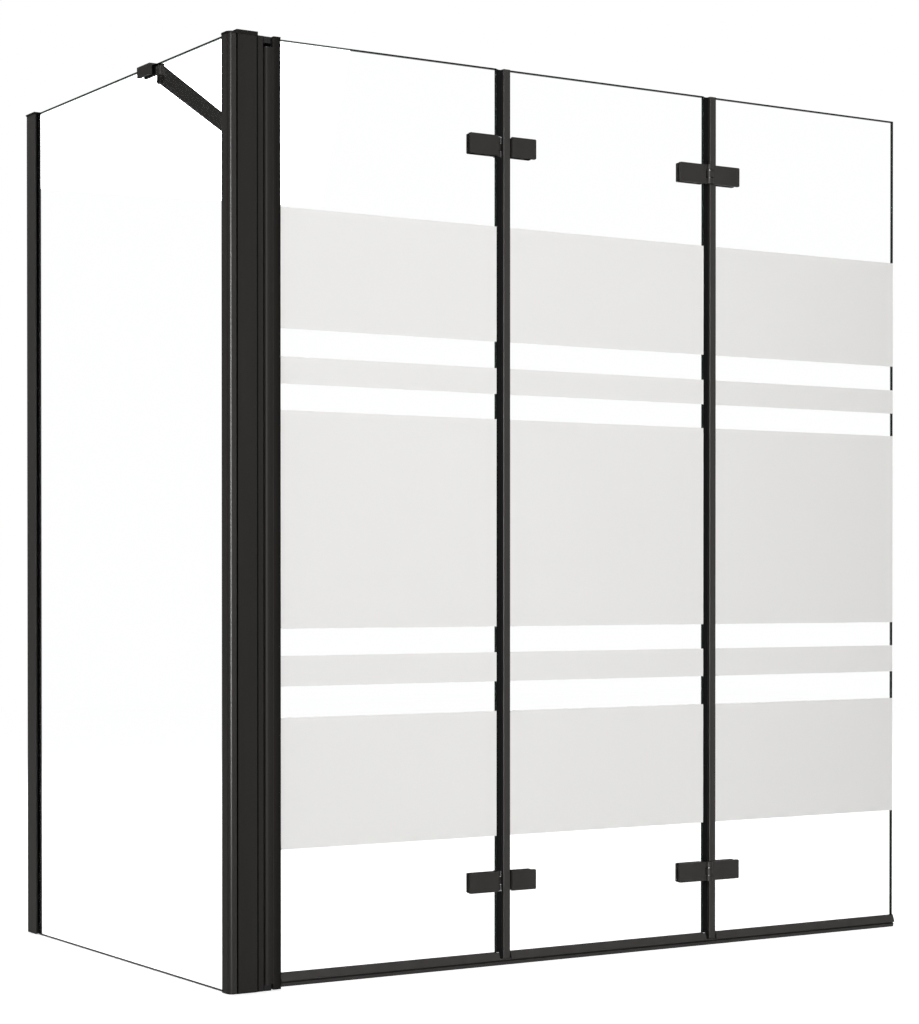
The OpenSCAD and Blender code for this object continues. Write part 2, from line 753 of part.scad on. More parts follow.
module pivot_profile_cap() color(black_metal) {
  r = 0.8 * pivot_cap_t;
  along_y(front_y - clamp_half, front_y + clamp_half) {
    translate([clamp_left + r, clamp_top]) square([clamp_w - r, pivot_cap_t]);
    translate([clamp_left, clamp_top]) square([clamp_w, pivot_cap_t - r]);
    translate([clamp_left + r, clamp_top + pivot_cap_t - r]) intersection() {
      circle(r);
      translate([-r, 0]) square(r);
    }
  }
  between(clamp_top - cap_plug_h, clamp_top)
    translate([pivot_x + clamp_floor + slide_fit, front_y - pocket_half + slide_fit])
      square([pivot_to_glass - clamp_floor - 2 * slide_fit, 2 * (pocket_half - slide_fit)]);
}

module pivot_profile_seals() color(black_rubber) {
  between(rail_top + cover_gap, glass_top) translate([0, front_y])
    glazing_pair(clamp_right - seal_depth, clamp_right);
}

// Flanged bushes: the lower flange fills most of its gap, the upper one leaves room for lifting the panel
module pivot_bushes() color(grey_nylon) translate([pivot_x, front_y, 0]) {
  flange = knuckle_low_gap - small_gap;
  difference() {
    union() {
      translate([0, 0, knuckle_low_z - flange]) cylinder(r = bush_r + 1, h = flange);
      translate([0, 0, knuckle_low_z]) cylinder(r = bush_r, h = pin_reach);
      translate([0, 0, knuckle_top_z]) cylinder(r = bush_r + 1, h = flange);
      translate([0, 0, knuckle_top_z - pin_reach]) cylinder(r = bush_r, h = pin_reach);
    }
    translate([0, 0, knuckle_low_z - knuckle_low_gap])
      cylinder(r = pin_r + pin_fit, h = knuckle_top_z - knuckle_low_z + 2 * knuckle_low_gap);
  }
}

// Puts a hinge at each height in "zs", with its knuckles behind the glass (face 1) or in front (face -1)
module at_hinges(axis_x, face, zs) {
  for (z = zs) translate([axis_x, front_y, z]) mirror([0, face < 0 ? 1 : 0, 0]) children();
}

// Holes for the clamping screws, drawn in a hinge's own frame; side is -1 for the left pane
module screw_places(side) {
  for (x = screw_xs) translate([side * x, 0, hinge_h / 2]) children();
}

// A pane with the holes of its hinges
module holed_pane(x0, x1) {
  difference() {
    between(glass_low, glass_top) translate([0, front_y]) pane_outline(x0, x1);
    children();
  }
}

module pane_holes(axis_x, side, zs) {
  at_hinges(axis_x, 1, zs) screw_places(side) translate([0, -glass_t, 0]) rotate([-90, 0, 0])
    cylinder(r = glass_hole_r, h = 2 * glass_t);
}

module glass_1() color(clear_glass) holed_pane(glass_1_x, glass_1_x + glass_1_w)
  pane_holes(axis_a, -1, hinges_a);

module glass_2() color(clear_glass) holed_pane(glass_2_x, glass_2_x + glass_2_w) {
  pane_holes(axis_a, 1, hinges_a);
  pane_holes(axis_b, -1, hinges_b);
}

module glass_3() color(clear_glass) holed_pane(glass_3_x, free_x)
  pane_holes(axis_b, 1, hinges_b);

// The frosted bands are a thin enamel on the outer face
module frosting(x0, x1) {
  for (i = [0 : len(band_heights) - 1])
    translate([x0, front_y - glass_t / 2 - band_t, band_z(i)])
      cube([x1 - x0, band_t, band_heights[i]]);
}

module frosted_bands_1() color(white_enamel) frosting(band_start, glass_1_x + glass_1_w - arris);
module frosted_bands_2() color(white_enamel)
  frosting(glass_2_x + arris, glass_2_x + glass_2_w - arris);
module frosted_bands_3() color(white_enamel) frosting(glass_3_x + arris, free_x - arris);

// The outline of a hinge plate, seen from the front, from x0 at the seam to x1
module plate_face_outline(x0, x1) {
  r = plate_round;
  translate([x0, 0]) square([x1 - x0 - r, hinge_h]);
  translate([x0, r]) square([x1 - x0, hinge_h - 2 * r]);
  for (z = [r, hinge_h - r]) translate([x1 - r, z]) circle(r);
}

// The screw's way through a plate: countersunk where its head sits, blind where it is threaded
module screw_way(sunk) {
  head_h = screw_head_r - screw_r;
  rotate([-90, 0, 0]) {
    if (sunk) {
      cylinder(r = screw_r + pin_fit, h = plate_face + cut);
      translate([0, 0, plate_face - head_h]) cylinder(r1 = screw_r, r2 = screw_head_r, h = head_h);
      translate([0, 0, plate_face - 0.01]) cylinder(r = screw_head_r, h = cut);
    } else {
      cylinder(r = screw_r + pin_fit, h = plate_face - blind_wall);
    }
  }
}

// How far a part reaches from the axis: the parts with the screw heads lie towards the bath
function hinge_end(side, sunk) =
  (side < 0 ? hinge_reach_left : hinge_reach_right) - (sunk ? hinge_less : 0);

// Which stretch of the hinge's height a leaf's knuckles take: both ends, or the middle
function knuckle_spans(ends) = ends
  ? [[0, knuckle_end_h], [hinge_h - knuckle_end_h, hinge_h]]
  : [[middle_low, middle_low + middle_h]];

// The other leaf's stretches, with the play on both sides
function free_spans(ends) = ends
  ? [[knuckle_end_h, hinge_h - knuckle_end_h]]
  : [[-cut, middle_low], [middle_low + middle_h, hinge_h + cut]];

// A hinge leaf in its own frame: a plate on the glass and knuckles on the axis
module hinge_leaf(side, ends, sunk) {
  difference() {
    union() {
      mirror([side < 0 ? 1 : 0, 0, 0]) along_y(pad_face, plate_face)
        plate_face_outline(leaf_start, hinge_end(side, sunk));
      for (span = knuckle_spans(ends)) translate([0, axis_out, span[0]])
        cylinder(r = knuckle_r, h = span[1] - span[0]);
    }
    for (span = free_spans(ends)) translate([0, axis_out, span[0]])
      cylinder(r = knuckle_r + knuckle_clear, h = span[1] - span[0]);
    translate([0, axis_out, -cut]) cylinder(r = pin_r + pin_fit, h = hinge_h + 2 * cut);
    screw_places(side) screw_way(sunk);
  }
}

// The plate on the other face of the pane, in the same frame
module counter_plate(side, x0, sunk) {
  difference() {
    mirror([side < 0 ? 1 : 0, 0, 0]) along_y(-plate_face, -pad_face)
      plate_face_outline(x0, hinge_end(side, sunk));
    mirror([0, 1, 0]) screw_places(side) screw_way(sunk);
  }
}

// Two pads and a sleeve round each screw; "sunk" tells whether the leaf holds the screw heads
module hinge_pads(side, sunk) {
  x0 = side < 0 ? seam_gap / 2 + 1.5 : seal_end + plate_gap + pad_inset;
  for (pad = [[-pad_face, hinge_end(side, !sunk)], [glass_t / 2, hinge_end(side, sunk)]]) difference() {
    mirror([side < 0 ? 1 : 0, 0, 0]) translate([x0, pad[0], pad_inset])
      cube([pad[1] - x0 - pad_inset, pad_t, hinge_h - 2 * pad_inset]);
    screw_places(side) translate([0, pad[0] - cut, 0]) rotate([-90, 0, 0])
      cylinder(r = screw_r + pin_fit, h = pad_t + 2 * cut);
  }
  screw_places(side) translate([0, -glass_t / 2, 0]) rotate([-90, 0, 0]) difference() {
    cylinder(r = sleeve_r, h = glass_t);
    translate([0, 0, -cut]) cylinder(r = screw_r + pin_fit, h = glass_t + 2 * cut);
  }
}

// The clamping screws: their heads are on the side of the bath
module hinge_screws(side, face) {
  head_h = screw_head_r - screw_r;
  length = 2 * plate_face - blind_wall - 0.4;
  mirror([0, face < 0 ? 1 : 0, 0]) screw_places(side) translate([0, plate_face, 0])
    rotate([90, 0, 0]) difference() {
      union() {
        cylinder(r = screw_r, h = length);
        cylinder(r1 = screw_head_r - pin_fit, r2 = screw_r, h = head_h - pin_fit);
      }
      translate([0, 0, -cut]) cylinder(r = screw_r * 0.65, h = 2.4 + cut, $fn = 6);
    }
}

module hinge_pin() {
  translate([0, axis_out, pin_inset]) cylinder(r = pin_r, h = hinge_h - 2 * pin_inset);
}

module hinge_a_leaf_1() color(black_metal) at_hinges(axis_a, 1, hinges_a) hinge_leaf(-1, true, true);
module hinge_a_leaf_2() color(black_metal) at_hinges(axis_a, 1, hinges_a) hinge_leaf(1, false, true);
module hinge_a_plate_1() color(black_metal) at_hinges(axis_a, 1, hinges_a)
  counter_plate(-1, seam_gap / 2, false);
module hinge_a_plate_2() color(black_metal) at_hinges(axis_a, 1, hinges_a)
  counter_plate(1, seal_end + plate_gap, false);
module hinge_a_pins() color(dark_steel) at_hinges(axis_a, 1, hinges_a) hinge_pin();

module hinge_b_leaf_2() color(black_metal) at_hinges(axis_b, -1, hinges_b) hinge_leaf(-1, true, false);
module hinge_b_leaf_3() color(black_metal) at_hinges(axis_b, -1, hinges_b) hinge_leaf(1, false, false);
module hinge_b_plate_2() color(black_metal) at_hinges(axis_b, -1, hinges_b)
  counter_plate(-1, seam_gap / 2, true);
module hinge_b_plate_3() color(black_metal) at_hinges(axis_b, -1, hinges_b)
  counter_plate(1, seal_end + plate_gap, true);
module hinge_b_pins() color(dark_steel) at_hinges(axis_b, -1, hinges_b) hinge_pin();

module hinge_pads_1() color(black_rubber) at_hinges(axis_a, 1, hinges_a) hinge_pads(-1, true);
module hinge_pads_2() color(black_rubber) {
  at_hinges(axis_a, 1, hinges_a) hinge_pads(1, true);
  at_hinges(axis_b, -1, hinges_b) hinge_pads(-1, false);
}
module hinge_pads_3() color(black_rubber) at_hinges(axis_b, -1, hinges_b) hinge_pads(1, false);

module hinge_screws_1() color(dark_steel) at_hinges(axis_a, 1, hinges_a) hinge_screws(-1, 1);
module hinge_screws_2() color(dark_steel) {
  at_hinges(axis_a, 1, hinges_a) hinge_screws(1, 1);
  at_hinges(axis_b, -1, hinges_b) hinge_screws(-1, -1);
}
module hinge_screws_3() color(dark_steel) at_hinges(axis_b, -1, hinges_b) hinge_screws(1, -1);

// The edge seal clips over a pane's left edge, and its lip closes the seam towards the other pane
module seal_clip() {
  nose_x = seam_gap / 2 - nose_out;
  outer = glass_t / 2 + band_t;
  difference() {
    round_rect([nose_x, -outer - leg_t], [seal_end, outer + leg_t], leg_t / 2);
    translate([seam_gap / 2, -outer]) square([leg_over + cut, 2 * outer]);
  }
}

module seal_lip() {
  bulb_x = -seam_gap / 2 + bulb_r + 0.5;
  bulb_y = glass_t / 2 - 0.5;
  wall = 0.7;
  difference() {
    union() {
      translate([bulb_x, bulb_y - lip_t / 2]) square([seam_gap / 2 - bulb_x - nose_out / 2, lip_t]);
      translate([bulb_x, bulb_y]) circle(bulb_r);
    }
    translate([bulb_x, bulb_y]) circle(bulb_r - wall);
  }
}

// An edge seal is cut away round its hinges: the clip beside the knuckles, and the lip if it lies there
module edge_seal(axis_x, face, zs) {
  over = small_gap;
  difference() {
    translate([axis_x, front_y]) union() {
      between(glass_low + 0.7, glass_top + 0.5) seal_clip();
      between(rail_top + cover_gap, glass_top) seal_lip();
    }
    at_hinges(axis_x, face, zs) {
      translate([-seam_gap, axis_out - knuckle_r - small_gap, -over])
        cube([2 * seam_gap + leg_over, knuckle_r, hinge_h + 2 * over]);
      if (face > 0) translate([-seam_gap, -0.5, -over])
        cube([seam_gap + seam_gap / 2 - nose_out, knuckle_r, hinge_h + 2 * over]);
    }
  }
}

module edge_seal_2() color(black_rubber) edge_seal(axis_a, 1, hinges_a);
module edge_seal_3() color(black_rubber) edge_seal(axis_b, -1, hinges_b);

// Section of a bottom rail without its pocket: a sloped front nose over a groove, and the points of
// "tab" on its top
module rail_body_section(tab) {
  groove = -rail_front + rail_groove;
  nose_low = glass_low - 0.4;
  nose_top = glass_low + 0.8;
  shoulder = -glass_t / 2 - rail_shoulder;
  bevel = 0.5;
  polygon(concat(
    [[groove, rail_low], [groove, nose_low], [-rail_front, nose_low], [-rail_front, nose_top],
     [shoulder, rail_top - bevel], [shoulder + bevel, rail_top]],
    tab,
    [[rail_back - bevel, rail_top], [rail_back, rail_top - bevel], [rail_back, rail_low]]));
}

// Section of a rail: the body with the pocket of the pane and the slot of the lip
module rail_section() {
  difference() {
    rail_body_section([]);
    translate([-glass_t / 2 - rail_fit, glass_low]) square([glass_t + 2 * rail_fit, rail_h]);
    translate([-drip_key / 2, rail_low - cut]) square([drip_key, drip_key_h + cut]);
  }
}

module rail(x0, x1) {
  translate([0, front_y, 0]) along_x(x0, x1) rail_section();
}

// Beside a seam only the floor of the rail goes on, as far as the other rail
module rail_foot(x0, x1) {
  translate([0, front_y, 0]) along_x(x0, x1) intersection() {
    rail_section();
    translate([-rail_front + rail_groove, rail_low])
      square([rail_front - rail_groove + rail_back, glass_low - rail_low]);
  }
}

module rail_1() color(black_metal) {
  rail(clamp_right + cover_gap, axis_a - rail_short);
  rail_foot(axis_a - rail_short, axis_a - seam_play);
}

module rail_2() color(black_metal) {
  rail_foot(axis_a + seam_play, axis_a + seal_end + plate_gap);
  rail(axis_a + seal_end + plate_gap, axis_b - rail_short);
  rail_foot(axis_b - rail_short, axis_b - seam_play);
}

module rail_3() color(black_metal) {
  rail_foot(axis_b + seam_play, axis_b + seal_end + plate_gap);
  rail(axis_b + seal_end + plate_gap, free_x);
}

module rail_end_cap_3() color(black_rubber) translate([0, front_y, 0]) {
  tab = glass_t / 2 + 0.5;
  along_x(free_x, free_x + end_cap_t)
    rail_body_section([[-tab, rail_top], [-tab, rail_top + 1], [tab, rail_top + 1], [tab, rail_top]]);
}

// Section of the sealing lip: a key, a flange, a front flap that stands forward under the rail's
// groove, and a flap behind it; both lean inwards
module drip_section() {
  flange_front = -rail_front + rail_groove;
  flap_front = -rail_front + 0.9;
  foot = rail_low - drip_h;
  under = rail_low - 1;
  back = rail_back - 0.4;
  key = drip_key / 2;
  polygon([[flange_front, rail_low], [flange_front, under], [flap_front, under - 0.4],
           [flap_front, under - 1.2], [flap_front + 1.4, foot], [flap_front + 1.4 + drip_t, foot],
           [flange_front + drip_t, under], [1, under], [2.2, foot + 2], [1.8 + drip_t, foot + 2], [1 + drip_t, under],
           [back, under], [back, rail_low], [key, rail_low], [key, rail_low + drip_key_h],
           [-key, rail_low + drip_key_h], [-key, rail_low]]);
}

module drip_lip(x0, x1) {
  translate([0, front_y, 0]) along_x(x0, x1) drip_section();
}

module drip_lip_1() color(black_rubber) drip_lip(clamp_right + cover_gap, axis_a - seam_play);
module drip_lip_2() color(black_rubber) drip_lip(axis_a + seam_play, axis_b - seam_play);
module drip_lip_3() color(black_rubber) drip_lip(axis_b + seam_play, free_x);

wall_profile();
wall_profile_cap();
wall_profile_seals();
side_glass();
side_glass_bed();
corner_post();
corner_post_cap();
corner_post_seals();
screen_channel();
screen_channel_cap();
post_joining_screws();
adjusting_profile();
adjusting_screws();
pivot_bearing_top();
pivot_bearing_bottom();
pivot_pins();
pivot_gap_seal();
brace_clamp();
brace_clamp_pads();
brace_clamp_screws();
brace_swivel_pins();
brace_bar();
brace_wall_flange();
pivot_profile();
pivot_profile_cap();
pivot_profile_seals();
pivot_bushes();
glass_1();
frosted_bands_1();
rail_1();
drip_lip_1();
hinge_a_leaf_1();
hinge_a_plate_1();
hinge_pads_1();
hinge_screws_1();
hinge_a_pins();
glass_2();
frosted_bands_2();
edge_seal_2();
rail_2();
drip_lip_2();
hinge_a_leaf_2();
hinge_a_plate_2();
hinge_b_leaf_2();
hinge_b_plate_2();
hinge_pads_2();
hinge_screws_2();
hinge_b_pins();
glass_3();
frosted_bands_3();
edge_seal_3();
rail_3();
drip_lip_3();
rail_end_cap_3();
hinge_b_leaf_3();
hinge_b_plate_3();
hinge_pads_3();
hinge_screws_3();
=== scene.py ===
import json
import math

import bmesh
import bpy
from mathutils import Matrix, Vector


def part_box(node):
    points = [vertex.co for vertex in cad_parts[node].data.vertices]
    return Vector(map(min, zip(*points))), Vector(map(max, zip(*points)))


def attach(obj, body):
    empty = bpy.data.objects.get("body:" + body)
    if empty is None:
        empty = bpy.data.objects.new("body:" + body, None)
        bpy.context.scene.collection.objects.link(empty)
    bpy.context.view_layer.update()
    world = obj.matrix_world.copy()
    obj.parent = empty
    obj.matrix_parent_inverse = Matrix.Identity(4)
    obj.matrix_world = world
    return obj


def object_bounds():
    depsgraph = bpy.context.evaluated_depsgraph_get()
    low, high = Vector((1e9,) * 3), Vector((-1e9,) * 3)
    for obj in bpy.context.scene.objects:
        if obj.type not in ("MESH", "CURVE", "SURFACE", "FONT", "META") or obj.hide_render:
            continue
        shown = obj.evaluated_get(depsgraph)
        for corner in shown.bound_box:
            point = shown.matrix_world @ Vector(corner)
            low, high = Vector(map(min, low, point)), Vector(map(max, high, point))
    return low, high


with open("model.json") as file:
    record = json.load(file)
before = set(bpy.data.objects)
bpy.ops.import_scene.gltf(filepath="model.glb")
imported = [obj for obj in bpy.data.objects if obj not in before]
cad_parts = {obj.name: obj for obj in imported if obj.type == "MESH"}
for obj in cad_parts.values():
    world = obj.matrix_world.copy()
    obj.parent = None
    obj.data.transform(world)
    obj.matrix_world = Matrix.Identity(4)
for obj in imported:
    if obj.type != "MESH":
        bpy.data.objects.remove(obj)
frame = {"nodes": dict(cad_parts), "record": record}
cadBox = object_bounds()
nodes = frame["nodes"]
scene = bpy.context.scene
scene.view_settings.view_transform = "Standard"
print("frame loaded:", len(nodes), "nodes")


# Camera: found from the straight edges of the photo, in the frame's own metres
cameraSet = {
    "place": (-1.610, -3.937, 0.595),
    "yaw": 57.81,           # degrees from +X to the line of sight
    "down": 0.497,          # degrees below level
    "focal": 2445,          # in pixels of the 919 x 1024 picture
    "middle": 605.7,        # pixel row of the line of sight
    "height": 1024,
    "sensor": 36,
    "farEnd": 60,
}


def placeCamera():
    yaw = math.radians(cameraSet["yaw"])
    down = math.radians(cameraSet["down"])
    sight = Vector((math.cos(yaw) * math.cos(down), math.sin(yaw) * math.cos(down), -math.sin(down)))
    lens = bpy.data.cameras.new("camera")
    lens.sensor_width = cameraSet["sensor"]
    lens.lens = cameraSet["focal"] * cameraSet["sensor"] / cameraSet["height"]
    lens.shift_y = (cameraSet["middle"] - cameraSet["height"] / 2) / cameraSet["height"]
    lens.clip_end = cameraSet["farEnd"]
    camera = bpy.data.objects.new("camera", lens)
    camera.location = cameraSet["place"]
    camera.rotation_euler = sight.to_track_quat("-Z", "Y").to_euler()
    scene.collection.objects.link(camera)
    scene.camera = camera


placeCamera()
print("camera placed")


# Shader sums: a wire is one socket, and sums of wires and numbers become Math nodes
class Wire:
    def __init__(self, tree, socket=None):
        self.tree = tree
        self.socket = socket

    def node(self, kind, settings=None, values=None, out=0):
        made = self.tree.nodes.new("ShaderNode" + kind)
        for name, value in (settings or {}).items():
            if name == "stops":
                fillRamp(made.color_ramp, value)
            else:
                setattr(made, name, value)
        for name, value in (values or {}).items():
            if isinstance(value, Wire):
                self.tree.links.new(value.socket, made.inputs[name])
            else:
                made.inputs[name].default_value = value
        return Wire(self.tree, made.outputs[out])

    def sum(self, operation, first, second):
        return self.node("Math", {"operation": operation}, {0: first, 1: second})

    def __add__(self, other):
        return self.sum("ADD", self, other)

    def __radd__(self, other):
        return self.sum("ADD", other, self)

    def __sub__(self, other):
        return self.sum("SUBTRACT", self, other)

    def __rsub__(self, other):
        return self.sum("SUBTRACT", other, self)

    def __mul__(self, other):
        return self.sum("MULTIPLY", self, other)

    def __rmul__(self, other):
        return self.sum("MULTIPLY", other, self)

    def __abs__(self):
        return self.node("Math", {"operation": "ABSOLUTE"}, {0: self})

    def above(self, level):
        return self.sum("GREATER_THAN", self, level)

    def below(self, level):
        return self.sum("LESS_THAN", self, level)

    def either(self, other):
        return self.sum("MAXIMUM", self, other)

    def times(self, other):
        return self.node("VectorMath", {"operation": "MULTIPLY"}, {0: self, 1: other})

    def mix(self, first, second):
        factorIn, firstIn, secondIn, colourOut = 0, 6, 7, 2        # the Mix node's sockets for colours
        colours = {factorIn: self, firstIn: first, secondIn: second}
        return self.node("Mix", {"data_type": "RGBA"}, colours, colourOut)


def fillRamp(ramp, stops):
    while len(ramp.elements) < len(stops):
        ramp.elements.new(0.5)
    for element, (place, level) in zip(ramp.elements, stops):
        element.position = place
        element.color = (level, level, level, 1)


def startMaterial(name):
    material = bpy.data.materials.new(name)
    material.use_nodes = True
    material.node_tree.nodes.clear()
    return material, Wire(material.node_tree)


def endTree(start, shader, kind="OutputMaterial"):
    output = start.tree.nodes.new("ShaderNode" + kind)
    start.tree.links.new(shader.socket, output.inputs["Surface"])


def objectPlace(start):
    return start.node("TexCoord", {}, {}, "Object")


def along(start, place, axis):
    return start.node("SeparateXYZ", {}, {0: place}, axis)


def noise(start, place, scale, detail=2.0, rough=0.5):
    return start.node("TexNoise", {}, {
        "Vector": place, "Scale": scale, "Detail": detail, "Roughness": rough})


def stretched(start, place, scale):
    return start.node("Mapping", {}, {"Vector": place, "Scale": scale})


def bump(start, height, strength, distance):
    return start.node("Bump", {}, {"Height": height, "Strength": strength, "Distance": distance})


def lightPath(start, ray):
    return start.node("LightPath", {}, {}, ray)


def grey(level, red=1.0, green=1.0, blue=1.0):
    return (level * red, level * green, level * blue, 1)


# Powder coat: fine orange peel, faint upright drift from the spray and slightly polished edges.
# Each group of pieces is a lot with its own tone and gloss; the tones are partly the coat's own and partly
# painted light and shade, set for how light falls on each group.
powderCoat = {
    "peel": 1500,               # bumps per metre
    "peelDepth": 0.00003,
    "peelStrength": 0.5,
    "peelGloss": 0.06,
    "drift": (30, 30, 2.4),     # clouds per metre
    "driftTone": 0.7,
    "driftGloss": 0.08,
    "thin": 0.78,               # of the lot's tone
    "thinTint": (1.05, 1.0, 0.94),
    "full": 1.28,
    "fullTint": (1.06, 1.0, 0.94),
    "edgeRound": 0.0005,
    "edgeSamples": 6,
    "edgeStops": [(0.78, 1.0), (0.99, 0.0)],
    "edgeLift": 0.40,
    "edgeGloss": 0.05,
}
# A coated piece takes the first lot whose name is in its own, and else the channel's
coats = {
    "cap": {"tone": 0.0170, "gloss": 0.48, "shine": 0.01},
    "brace_bar": {"tone": 0.0200, "gloss": 0.42, "shine": 0.002},
    "brace": {"tone": 0.0500, "gloss": 0.45, "shine": 0.01},
    "post": {"tone": 0.0430, "gloss": 0.26, "shine": 0.014},
    "channel": {"tone": 0.0245, "gloss": 0.42, "shine": 0.02},
    "pivot": {"tone": 0.0230, "gloss": 0.46, "shine": 0.006},
    "wall": {"tone": 0.0460, "gloss": 0.45, "shine": 0.02},
    "rail": {"tone": 0.0480, "gloss": 0.45, "shine": 0.04},
    "hinge_a": {"tone": 0.0440, "gloss": 0.55, "shine": 0.002},
    "hinge": {"tone": 0.0440, "gloss": 0.40, "shine": 0.02},
    "groove": {"tone": 0.0020, "gloss": 0.60, "shine": 0.0},         # near black with no gloss: painted shade on the rounded edges beside the gaps
}
# Painted sheen and shade across the pivot profile: lighter at the rounded knuckle, darker towards its pane
# at the right
pivotSheenAndShade = {"knuckle": grey(1.55), "pane": grey(0.42)}
# Painted shade lines between the profiles, standing for the shadow in the gaps: middle in X, half width
seamShadeLines = {
    "tone": grey(0.002),
    "lots": ("post", "channel"),
    "lines": [
        (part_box("screen_channel")[0].x, 0.0011),
        (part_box("screen_channel")[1].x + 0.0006, 0.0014),
        (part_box("adjusting_profile")[1].x, 0.0012),
    ],
}
# The front corners of the profiles beside those lines take the groove coat, painted shade with no gloss: 0
# is the left one, 1 the right one
cornerShade = {
    "reach": 0.0014,           # in X and Y
    "sides": {"corner_post": (1,), "screen_channel": (0, 1), "adjusting_profile": (1,)},
}


def roundedEdges(start):
    return start.node("Bevel", {"samples": powderCoat["edgeSamples"]}, {"Radius": powderCoat["edgeRound"]})


def edgeMask(start):
    flat = start.node("NewGeometry", {}, {}, "Normal")
    dot = start.node("VectorMath", {"operation": "DOT_PRODUCT"}, {0: roundedEdges(start), 1: flat}, "Value")
    return start.node("ValToRGB", {"stops": powderCoat["edgeStops"]}, {"Fac": dot})


def pivotSheenFade(across):
    low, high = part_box("pivot_profile")
    share = (across - low.x) * (1 / (high.x - low.x))
    return share.mix(pivotSheenAndShade["knuckle"], pivotSheenAndShade["pane"])


def seamShadeMask(across):
    mask = None
    for middle, halfWidth in seamShadeLines["lines"]:
        line = abs(across - middle).below(halfWidth)
        mask = line if mask is None else mask.either(line)
    return mask


def makePowderCoat(lot):
    look = coats[lot]
    material, start = startMaterial("powder_coat_" + lot)
    place = objectPlace(start)
    peel = noise(start, place, powderCoat["peel"], rough=0.55)
    drift = noise(start, stretched(start, place, powderCoat["drift"]), 1.0, detail=3.0)
    edge = edgeMask(start)
    thin = grey(look["tone"] * powderCoat["thin"], *powderCoat["thinTint"])
    full = grey(look["tone"] * powderCoat["full"], *powderCoat["fullTint"])
    colour = (drift * powderCoat["driftTone"] + edge * powderCoat["edgeLift"]).mix(thin, full)
    # Painted sheen at the knuckle, painted shade towards the pane
    if lot == "pivot":
        colour = colour.times(pivotSheenFade(along(start, place, "X")))
    # Painted shade along the gaps between the profiles
    if lot in seamShadeLines["lots"]:
        colour = seamShadeMask(along(start, place, "X")).mix(colour, seamShadeLines["tone"])
    gloss = look["gloss"] + (drift - 0.5) * powderCoat["driftGloss"]
    gloss = gloss + (peel - 0.5) * powderCoat["peelGloss"] - edge * powderCoat["edgeGloss"]
    normal = start.node("Bump", {}, {
        "Height": peel, "Strength": powderCoat["peelStrength"], "Distance": powderCoat["peelDepth"],
        "Normal": roundedEdges(start)})
    endTree(start, start.node("BsdfPrincipled", {}, {
        "Base Color": colour, "Roughness": gloss, "Normal": normal,
        "Specular IOR Level": look["shine"]}))
    return material


# Moulded nylon and strips: a fine spark from the tool and soft clouds of tone and gloss
moulding = {
    "clouds": (14, 14, 5),     # per metre
    "share": 0.5,              # of the spark and of the clouds in the tone
    "cloudGloss": 0.12,
    "sparkGloss": 0.08,
    "sparkStrength": 0.5,
}

# The bearings, bushes and the rail's end cap
mouldedNylon = {
    "name": "moulded_black_nylon",
    "dark": grey(0.012),
    "light": grey(0.018),
    "gloss": 0.42,
    "spark": 700,
    "sparkDepth": 0.00006,
    "shine": 0.05,
}

# Soft black: the glazing seals, the pads, and the lips and feet of the edge seals
softSeal = {
    "name": "soft_black_seal",
    "dark": grey(0.004),
    "light": grey(0.008),
    "gloss": 0.55,
    "spark": 420,
    "sparkDepth": 0.00005,
    "shine": 0.02,
}

# The clips of the edge seals are a harder, smoother strip
seamStrip = {
    "name": "smooth_black_strip",
    "dark": grey(0.034, 1.07, 1.0, 0.94),
    "light": grey(0.044, 1.07, 1.0, 0.94),
    "gloss": 0.36,
    "spark": 260,
    "sparkDepth": 0.00003,
    "shine": 0.08,
}

# The lips under the rails are of the same strip, painted black above this height as the shade in the groove
# below the rail
railLipShaded = dict(seamStrip, name="rail_lip_strip_shaded", groove=0.0092)

# The bulb in the gap beside the knuckle is of open foam with no gloss at all, and is made near black as
# painted shade for the deep gap
gapBulbShade = dict(softSeal, name="black_bulb_gap_shade", dark=grey(0.0010), light=grey(0.0024),
               gloss=0.7, shine=0.0)


def makeMoulded(look):
    material, start = startMaterial(look["name"])
    place = objectPlace(start)
    spark = noise(start, place, look["spark"], detail=3.0, rough=0.6)
    cloud = noise(start, stretched(start, place, moulding["clouds"]), 1.0)
    colour = (moulding["share"] * spark + moulding["share"] * cloud).mix(look["dark"], look["light"])
    # Painted shade: near black above the given height, in the groove under the rail
    if "groove" in look:
        colour = along(start, place, "Z").above(look["groove"]).mix(colour, softSeal["dark"])
    gloss = look["gloss"] + (cloud - 0.5) * moulding["cloudGloss"] + (spark - 0.5) * moulding["sparkGloss"]
    endTree(start, start.node("BsdfPrincipled", {}, {
        "Base Color": colour, "Roughness": gloss, "Specular IOR Level": look["shine"],
        "Normal": bump(start, spark, moulding["sparkStrength"], look["sparkDepth"])}))
    return material


# Blackened steel of the screws and pins, turned marks round and round
turnedSteel = {
    "name": "blackened_steel",
    "dark": grey(0.030),
    "light": grey(0.062, 1.0, 0.99, 0.97),
    "gloss": 0.34,
    "marks": 2600,
    "markRun": (0.15, 1, 1),
    "markShare": 0.4,
    "markStrength": 0.3,
    "markDepth": 0.00002,
    "stain": 160,
    "stainShare": 0.6,
    "stainGloss": 0.2,
}


def makeTurnedSteel():
    look = turnedSteel
    material, start = startMaterial(look["name"])
    place = objectPlace(start)
    marks = noise(start, stretched(start, place, look["markRun"]), look["marks"])
    stain = noise(start, place, look["stain"], detail=3.0)
    tone = look["stainShare"] * stain + look["markShare"] * marks
    endTree(start, start.node("BsdfPrincipled", {}, {
        "Base Color": tone.mix(look["dark"], look["light"]), "Metallic": 1.0,
        "Roughness": look["gloss"] + (stain - 0.5) * look["stainGloss"],
        "Normal": bump(start, marks, look["markStrength"], look["markDepth"])}))
    return material


